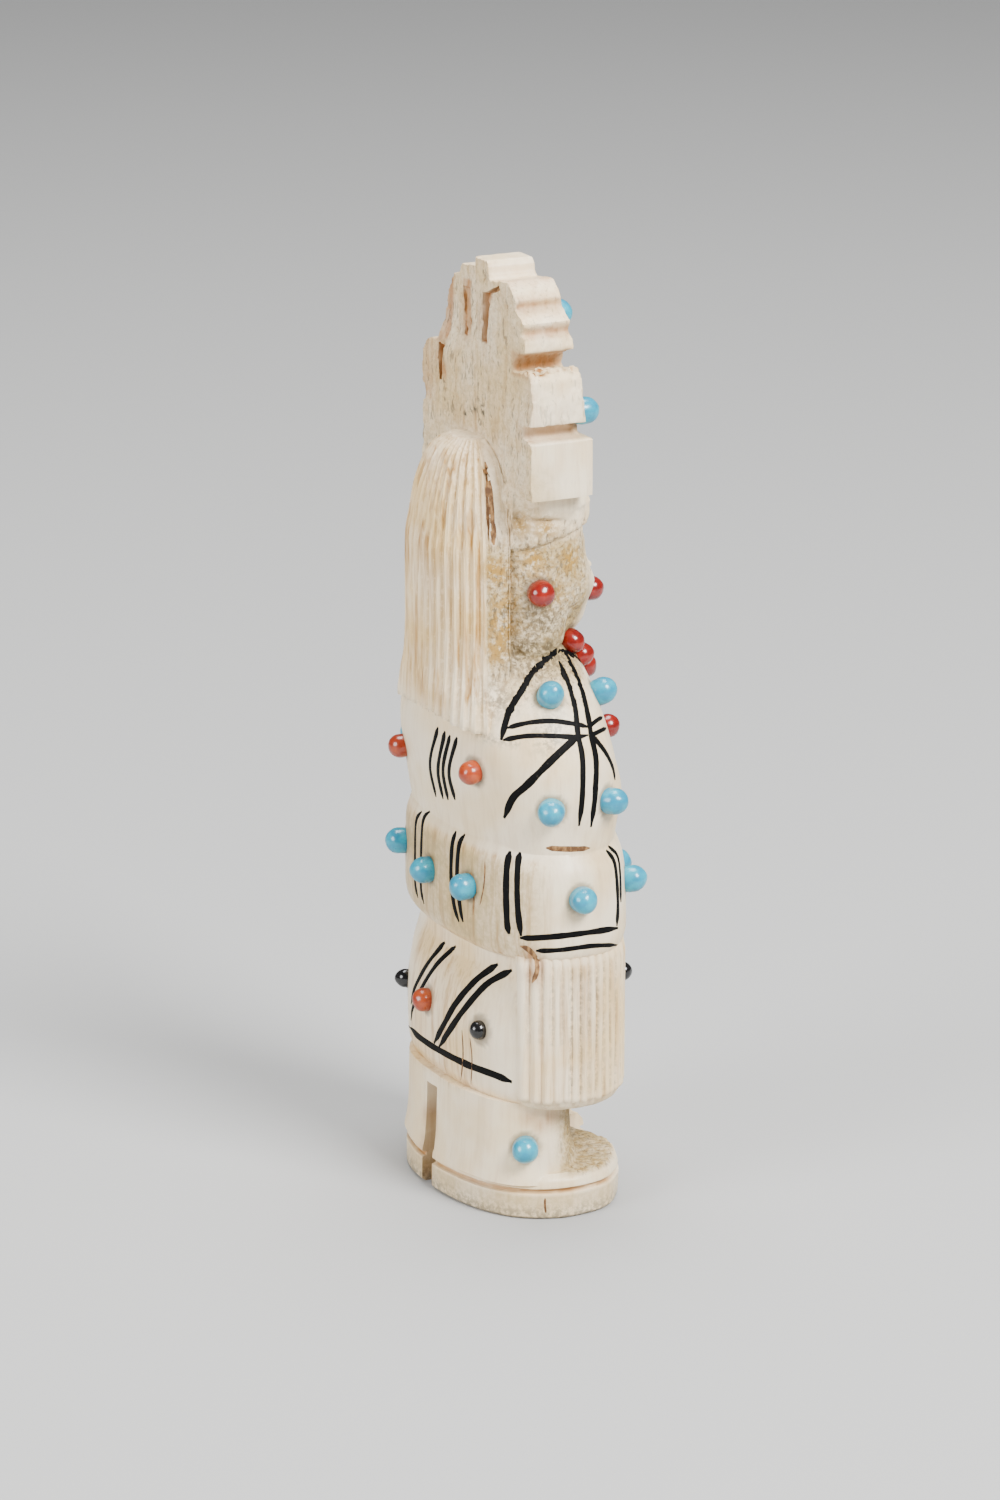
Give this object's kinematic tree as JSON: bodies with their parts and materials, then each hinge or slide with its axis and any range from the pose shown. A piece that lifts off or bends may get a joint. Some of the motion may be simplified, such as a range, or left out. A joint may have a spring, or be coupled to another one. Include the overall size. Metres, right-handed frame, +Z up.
{
  "type": "zuni fetish carving",
  "caption": "Antler carving of a standing corn maiden in a stepped headdress, with inlaid turquoise, coral and jet stones.",
  "frame": {"origin": "on the ground under the middle of the figure", "axes": "+Z up; the figure faces -Y and its right hand side is -X"},
  "size_m": [0.0418, 0.0243, 0.108],
  "materials": {
    "antler": "polished and porous antler, scratch lines inked black",
    "turquoise": "polished stone",
    "coral": "polished coral",
    "jet": "polished jet"
  },
  "bodies": {
    "root": {"antler_maiden": "antler", "coral_cheek_left": "coral", "coral_cheek_right": "coral", "coral_chest_left": "coral", "coral_chest_right": "coral", "coral_ear_left": "coral", "coral_ear_right": "coral", "coral_headdress_middle": "coral", "coral_necklace_1_left": "coral", "coral_necklace_1_right": "coral", "coral_necklace_2_left": "coral", "coral_necklace_2_right": "coral", "coral_necklace_3_left": "coral", "coral_necklace_3_right": "coral", "coral_necklace_middle": "coral", "coral_robe_back_left": "coral", "coral_robe_back_right": "coral", "coral_skirt_back": "coral", "coral_skirt_front": "coral", "jet_skirt_back_left": "jet", "jet_skirt_back_right": "jet", "jet_skirt_front_left": "jet", "jet_skirt_front_right": "jet", "turquoise_belt_back_left": "turquoise", "turquoise_belt_back_middle": "turquoise", "turquoise_belt_back_right": "turquoise", "turquoise_belt_corner_left": "turquoise", "turquoise_belt_corner_right": "turquoise", "turquoise_belt_front_left": "turquoise", "turquoise_belt_front_right": "turquoise", "turquoise_belt_side_left": "turquoise", "turquoise_belt_side_right": "turquoise", "turquoise_boot_left": "turquoise", "turquoise_boot_right": "turquoise", "turquoise_breast_left": "turquoise", "turquoise_breast_right": "turquoise", "turquoise_headdress_lower_left": "turquoise", "turquoise_headdress_lower_right": "turquoise", "turquoise_headdress_upper_left": "turquoise", "turquoise_headdress_upper_right": "turquoise", "turquoise_shoulder_left": "turquoise", "turquoise_shoulder_right": "turquoise", "turquoise_sleeve_back_left": "turquoise", "turquoise_sleeve_back_right": "turquoise", "turquoise_sleeve_front_left": "turquoise", "turquoise_sleeve_front_right": "turquoise"}
  },
  "joints": []
}
